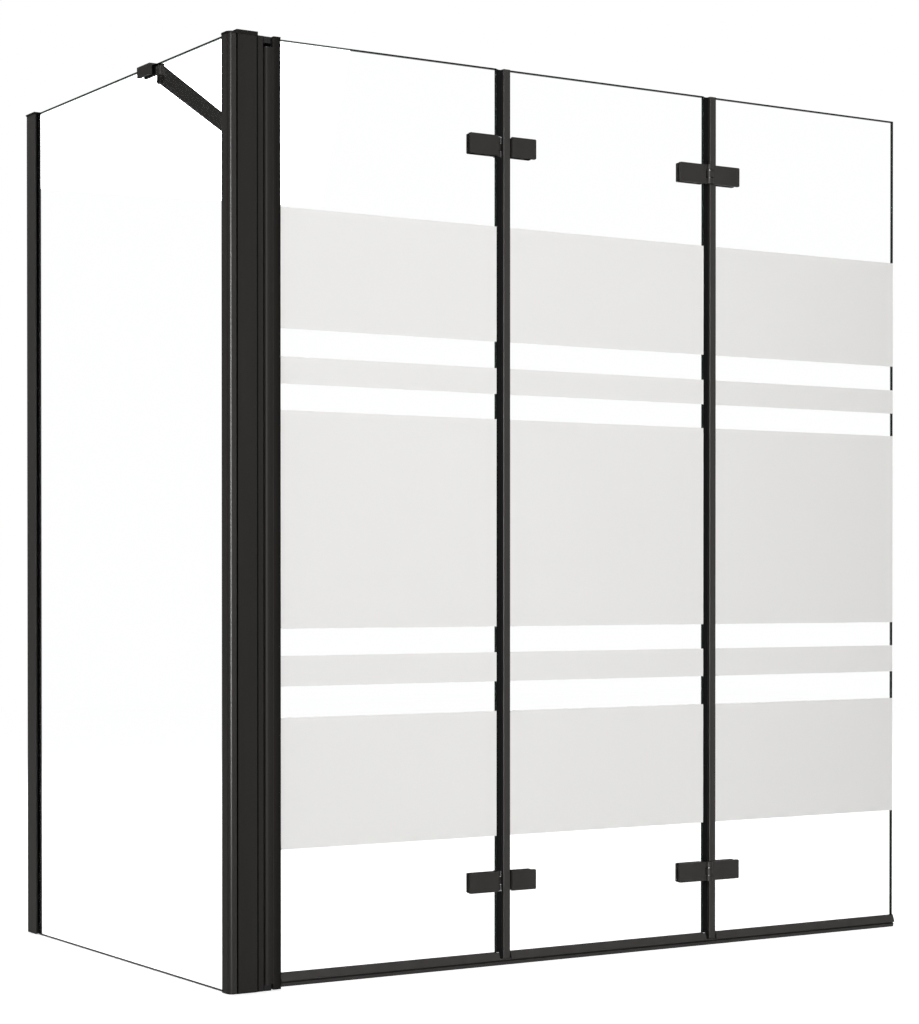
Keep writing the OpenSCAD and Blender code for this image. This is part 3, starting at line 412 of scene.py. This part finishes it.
# Toughened glass: clear faces with a faint roller wave, dark green where light leaves by the edge
paneGlass = {
    "name": "clear_pane",
    "tint": (0.992, 0.998, 0.995, 1),
    "tintDeep": (0.987, 0.996, 0.992, 1),
    "wave": 5,
    "waveRun": (1, 1, 2.2),
    "waveStrength": 0.3,
    "waveDepth": 0.00002,
    "bend": 1.02,          # the photo shows no shift and no reflection in its panes
    "rim": 0.0018,         # painted shade: a dark zone along the top, where the pane's edge is seen through the glass
    "rimRight": 0.0013,    # the same painted shade along the last pane's free edge
    "rimTint": (0.010, 0.013, 0.011, 1),
}
paneEdge = {
    "name": "pane_edge",
    "deep": (0.003, 0.007, 0.005, 1),
    "bright": (0.009, 0.020, 0.014, 1),
    "gloss": 0.35,
    "shine": 0.03,
    "streaks": (60, 60, 9),
    "streakGloss": 0.14,
    "grind": 900,
    "grindStrength": 0.3,
    "grindDepth": 0.00002,
}


def makePaneGlass():
    look = paneGlass
    material, start = startMaterial(look["name"])
    place = objectPlace(start)
    wave = noise(start, stretched(start, place, look["waveRun"]), look["wave"], detail=1.0)
    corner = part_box("glass_3")[1]
    top = along(start, place, "Z").above(corner.z - look["rim"])
    side = along(start, place, "X").above(corner.x - look["rimRight"])
    # Painted shade along the top and the free edge
    tint = top.either(side).mix(wave.mix(look["tint"], look["tintDeep"]), look["rimTint"])
    body = start.node("BsdfPrincipled", {}, {
        "Base Color": tint, "Roughness": 0.0,
        "IOR": look["bend"], "Transmission Weight": 1.0,
        "Normal": bump(start, wave, look["waveStrength"], look["waveDepth"])})
    # Light on its way to a matt surface passes straight through
    straight = start.node("BsdfTransparent", {}, {"Color": look["tint"]})
    passing = lightPath(start, "Is Shadow Ray").either(lightPath(start, "Is Diffuse Ray"))
    endTree(start, start.node("MixShader", {}, {0: passing, 1: body, 2: straight}))
    return material


def makePaneEdge():
    look = paneEdge
    material, start = startMaterial(look["name"])
    place = objectPlace(start)
    streak = noise(start, stretched(start, place, look["streaks"]), 1.0)
    grind = noise(start, place, look["grind"], detail=1.0)
    endTree(start, start.node("BsdfPrincipled", {}, {
        "Base Color": streak.mix(look["deep"], look["bright"]),
        "Roughness": look["gloss"] + streak * look["streakGloss"], "Specular IOR Level": look["shine"],
        "Normal": bump(start, grind, look["grindStrength"], look["grindDepth"])}))
    return material


# Frosting: a thin pale layer with a sandy grain, darker towards the lower right with painted shade
frosting = {
    "name": "frosted_layer",
    "thick": (0.930, 0.923, 0.908, 1),        # at the left
    "thin": (0.785, 0.778, 0.763, 1),         # at the lower right, darker as painted shade
    "shadeAcross": 0.9,                        # grows with the square of the way
    "shadeDown": 0.1,
    "wearCloud": 0.1,
    "clouds": 3.5,                            # per metre
    "grain": 1900,
    "grainGloss": 0.12,
    "grainStrength": 0.4,
    "grainDepth": 0.00005,
    "gloss": 0.75,
    "shine": 0.03,
}


def makeFrosting():
    look = frosting
    material, start = startMaterial(look["name"])
    place = objectPlace(start)
    grain = noise(start, place, look["grain"], detail=3.0, rough=0.7)
    cloud = noise(start, place, look["clouds"])
    low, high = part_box("frosted_bands_1")[0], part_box("frosted_bands_3")[1]
    across = (along(start, place, "X") - low.x) * (1 / (high.x - low.x))
    down = (high.z - along(start, place, "Z")) * (1 / (high.z - low.z))
    # Painted shade across and down the bands, with clouds of real tone
    shadeAndCloud = across * across * look["shadeAcross"] + down * look["shadeDown"]
    shadeAndCloud = shadeAndCloud + (grain + cloud - 1) * look["wearCloud"]
    endTree(start, start.node("BsdfPrincipled", {}, {
        "Base Color": shadeAndCloud.mix(look["thick"], look["thin"]),
        "Roughness": look["gloss"] + (grain - 0.5) * look["grainGloss"],
        "Specular IOR Level": look["shine"],
        "Normal": bump(start, grain, look["grainStrength"], look["grainDepth"])}))
    return material


# Clear silicone bedding under the side pane
bedding = {
    "name": "silicone_bedding",
    "clear": (0.90, 0.92, 0.92, 1),
    "milky": (0.96, 0.97, 0.97, 1),
    "clouds": 45,              # per metre
    "cloudGloss": 0.1,
    "cloudStrength": 0.4,
    "cloudDepth": 0.0001,
    "gloss": 0.3,
    "bend": 1.05,
}


def makeBedding():
    look = bedding
    material, start = startMaterial(look["name"])
    cloud = noise(start, objectPlace(start), look["clouds"], detail=3.0)
    endTree(start, start.node("BsdfPrincipled", {}, {
        "Base Color": cloud.mix(look["clear"], look["milky"]),
        "Roughness": look["gloss"] + cloud * look["cloudGloss"],
        "IOR": look["bend"], "Transmission Weight": 1.0,
        "Normal": bump(start, cloud, look["cloudStrength"], look["cloudDepth"])}))
    return material


coated = {lot: makePowderCoat(lot) for lot in coats}
finishes = {
    "black_nylon": makeMoulded(mouldedNylon),
    "black_rubber": makeMoulded(softSeal),
    "seam_seal": makeMoulded(seamStrip),
    "rail_lip": makeMoulded(railLipShaded),
    "gap_bulb_shade": makeMoulded(gapBulbShade),
    "dark_steel": makeTurnedSteel(),
    "clear_glass": makePaneGlass(),
    "clear_silicone": makeBedding(),
    "white_enamel": makeFrosting(),
    "pane_edge": makePaneEdge(),
}
print("finishes made:", len(coated) + len(finishes))


# Every piece of the frame takes the finish of its slot, a coated one that of its lot, and these their own
ownFinish = {"drip_lip": "rail_lip", "pivot_gap_seal": "gap_bulb_shade"}


def finishOf(name, slot):
    for word, finish in ownFinish.items():
        if word in name:
            return finishes[finish]
    if slot != "black_metal":
        return finishes[slot]
    lots = [lot for lot in coats if lot in name] + ["channel"]
    return coated[lots[0]]


def dressNodes():
    for part in frame["record"]["subparts"]:
        name, slot = part["node"], part["material_slot"]
        piece = nodes[name]
        piece.data.materials.clear()
        piece.data.materials.append(finishOf(name, slot))
        if slot == "clear_glass":
            dressPane(piece, name)
        elif slot == "seam_seal":
            dressSeal(piece, name)
        elif name in cornerShade["sides"]:
            paintCornerShade(piece, name)


# A pane's narrow faces are its edges, and the side pane's foot shows the bedding under it
paneFaces = {
    "broad": 0.9,              # least share of the thin direction in a broad face's normal
    "foot": -0.3,              # highest Z in the normal of a face of the foot
    "beddedPane": "side_glass",
}


def dressPane(piece, name):
    low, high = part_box(name)
    size = high - low
    thin = min(range(3), key=lambda side: size[side])
    piece.data.materials.append(finishes["pane_edge"])
    piece.data.materials.append(finishes["clear_silicone"])
    glass, edge, bedded = range(3)
    for face in piece.data.polygons:
        if abs(face.normal[thin]) > paneFaces["broad"]:
            face.material_index = glass
        elif name == paneFaces["beddedPane"] and face.normal.z < paneFaces["foot"]:
            face.material_index = bedded
        else:
            face.material_index = edge


# An edge seal's lip is a softer, blacker strip than its clip
lipWidth = 0.0113          # from the bulb's far side to the nose of the clip


def dressSeal(piece, name):
    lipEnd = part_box(name)[0].x + lipWidth
    piece.data.materials.append(finishes["black_rubber"])
    for face in piece.data.polygons:
        face.material_index = 1 if face.center.x < lipEnd else 0


# Front corner faces beside the gaps take the near-black groove coat as painted shade
def paintCornerShade(piece, name):
    reach = cornerShade["reach"]
    ends = [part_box(name)[side].x for side in cornerShade["sides"][name]]
    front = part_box(name)[0].y + reach
    piece.data.materials.append(coated["groove"])
    for face in piece.data.polygons:
        away = min(abs(face.center.x - end) for end in ends)
        face.material_index = 1 if away < reach and face.center.y < front else 0


dressNodes()
print("nodes dressed")


def addPiece(name, mesh, finish):
    mesh.materials.append(finish)
    piece = bpy.data.objects.new(name, mesh)
    scene.collection.objects.link(piece)
    return piece


# Foam sleeve on the upper pivot pin, near black as painted shade for the recess: it fills the height
# between the knuckle's bush and the tongue above
spacer = {
    "name": "pivot_spacer_shade",
    "inner": 0.0031,
    "outer": 0.0054,
    "foot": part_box("pivot_bushes")[1].z + 0.0001,
    "height": 0.0046,
    "chamfer": 0.0003,
    "sides": 48,
}


def turnSpacer():
    low, high = spacer["foot"], spacer["foot"] + spacer["height"]
    inner, outer, cut = spacer["inner"], spacer["outer"], spacer["chamfer"]
    outline = [(inner, low), (outer - cut, low), (outer, low + cut),
               (outer, high - cut), (outer - cut, high), (inner, high)]
    pin = (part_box("pivot_pins")[0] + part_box("pivot_pins")[1]) / 2
    rows, sides = len(outline), spacer["sides"]
    points, faces = [], []
    for side in range(sides):
        turn = 2 * math.pi * side / sides
        points += [(pin.x + r * math.cos(turn), pin.y + r * math.sin(turn), z) for r, z in outline]
        here, there = side * rows, (side + 1) % sides * rows
        for row in range(rows):
            nextRow = (row + 1) % rows
            faces.append((here + row, there + row, there + nextRow, here + nextRow))
    mesh = bpy.data.meshes.new(spacer["name"])
    mesh.from_pydata(points, [], faces)
    sleeve = addPiece(spacer["name"], mesh, finishes["gap_bulb_shade"])
    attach(sleeve, "frame")


turnSpacer()
print("spacer turned")


# Soft foot of each edge seal: it closes the corner between the seal's lip and clip and the next pane's rail
sealFoot = {
    "rails": {"panel_2": "rail_2", "panel_3": "rail_3"},
    "outline": [(-0.0074, 0.0239), (-0.0001, 0.0239), (-0.0001, 0.0134),
                (0.0035, 0.0134), (0.0035, 0.0266), (-0.0074, 0.0266)],     # X from the rail's end, and Z
    "front": -0.7604,
    "back": -0.7538,
    "round": 0.0003,
    "roundSteps": 2,
}


# A bevel leaves its corners and faces in another order each run, so they are sorted
def sortedMesh(name, shape):
    points = sorted(corner.co.to_tuple() for corner in shape.verts)
    numbers = {point: number for number, point in enumerate(points)}
    faces = []
    for face in shape.faces:
        corners = [numbers[corner.co.to_tuple()] for corner in face.verts]
        first = corners.index(min(corners))
        faces.append(corners[first:] + corners[:first])
    mesh = bpy.data.meshes.new(name)
    mesh.from_pydata(points, [], sorted(faces))
    return mesh


def mouldSealFoot(panel, rail):
    name = panel.replace("panel", "seal_foot")
    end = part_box(rail)[0].x
    shape = bmesh.new()
    corners = [shape.verts.new((end + x, sealFoot["front"], z)) for x, z in sealFoot["outline"]]
    made = bmesh.ops.extrude_face_region(shape, geom=[shape.faces.new(corners)])
    moved = [part for part in made["geom"] if isinstance(part, bmesh.types.BMVert)]
    bmesh.ops.translate(shape, verts=moved, vec=(0, sealFoot["back"] - sealFoot["front"], 0))
    bmesh.ops.recalc_face_normals(shape, faces=shape.faces)
    bmesh.ops.bevel(shape, geom=shape.edges, offset=sealFoot["round"], segments=sealFoot["roundSteps"],
                    affect="EDGES")
    foot = addPiece(name, sortedMesh(name, shape), finishes["black_rubber"])
    shape.free()
    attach(foot, panel)


for panel, rail in sealFoot["rails"].items():
    mouldSealFoot(panel, rail)
print("seal feet moulded")


# Floor and light: everything round the screen is plain white
studio = {
    "floorColour": (0.80, 0.80, 0.80, 1),
    "floorGlow": 0.70,
    "floorSize": 14,
    "floorDrop": 0.0006,
    "skyColour": (1, 1, 1, 1),
    "skyLight": 0.36,
}


def seenDirectly(start):
    seen = lightPath(start, "Is Camera Ray").either(lightPath(start, "Is Glossy Ray"))
    return seen.either(lightPath(start, "Is Transmission Ray"))


def layFloor():
    half = studio["floorSize"] / 2
    level = cadBox[0][2] - studio["floorDrop"]
    corners = [(-half, -half, level), (half, -half, level), (half, half, level), (-half, half, level)]
    sheet = bpy.data.meshes.new("floor")
    sheet.from_pydata(corners, [], [(0, 1, 2, 3)])
    material, start = startMaterial("white_floor")
    lit = start.node("BsdfDiffuse", {}, {"Color": studio["floorColour"]})
    glow = start.node("Emission", {}, {"Strength": seenDirectly(start) * studio["floorGlow"]})
    endTree(start, start.node("AddShader", {}, {0: lit, 1: glow}))
    floor = addPiece("floor", sheet, material)


def lightSky():
    world = bpy.data.worlds.new("studio")
    world.use_nodes = True
    world.node_tree.nodes.clear()
    scene.world = world
    start = Wire(world.node_tree)
    strength = studio["skyLight"] + seenDirectly(start) * (1 - studio["skyLight"])
    sky = start.node("Background", {}, {"Color": studio["skyColour"], "Strength": strength})
    endTree(start, sky, "OutputWorld")


# The strip lights gloss alone: it makes the bright line on the post's round corner
lamps = [
    {"name": "key", "place": (-3.4, -2.6, 2.6), "at": (0.2, -0.7, 0.75), "size": (1.6, 2.4), "power": 5},
    {"name": "front", "place": (0.9, -6.5, 1.7), "at": (0.6, -0.75, 0.7), "size": (4.0, 3.0), "power": 165},
    {"name": "back", "place": (0.9, 2.8, 2.6), "at": (0.4, -0.4, 0.7), "size": (2.6, 1.8), "power": 70},
    {"name": "strip", "place": (-1.88, -3.10, 0.90), "at": (0.0, -0.76, 0.90), "size": (0.16, 1.79),
     "power": 2100, "glossOnly": True},
]


def hangLamps():
    for look in lamps:
        light = bpy.data.lights.new(look["name"], "AREA")
        light.shape = "RECTANGLE"
        light.size, light.size_y = look["size"]
        light.energy = look["power"]
        lamp = bpy.data.objects.new(look["name"], light)
        lamp.location = look["place"]
        aim = Vector(look["at"]) - Vector(look["place"])
        lamp.rotation_euler = aim.to_track_quat("-Z", "Y").to_euler()
        lamp.visible_camera = False
        lamp.visible_diffuse = not look.get("glossOnly", False)
        scene.collection.objects.link(lamp)


layFloor()
lightSky()
hangLamps()
print("floor and lamps placed")
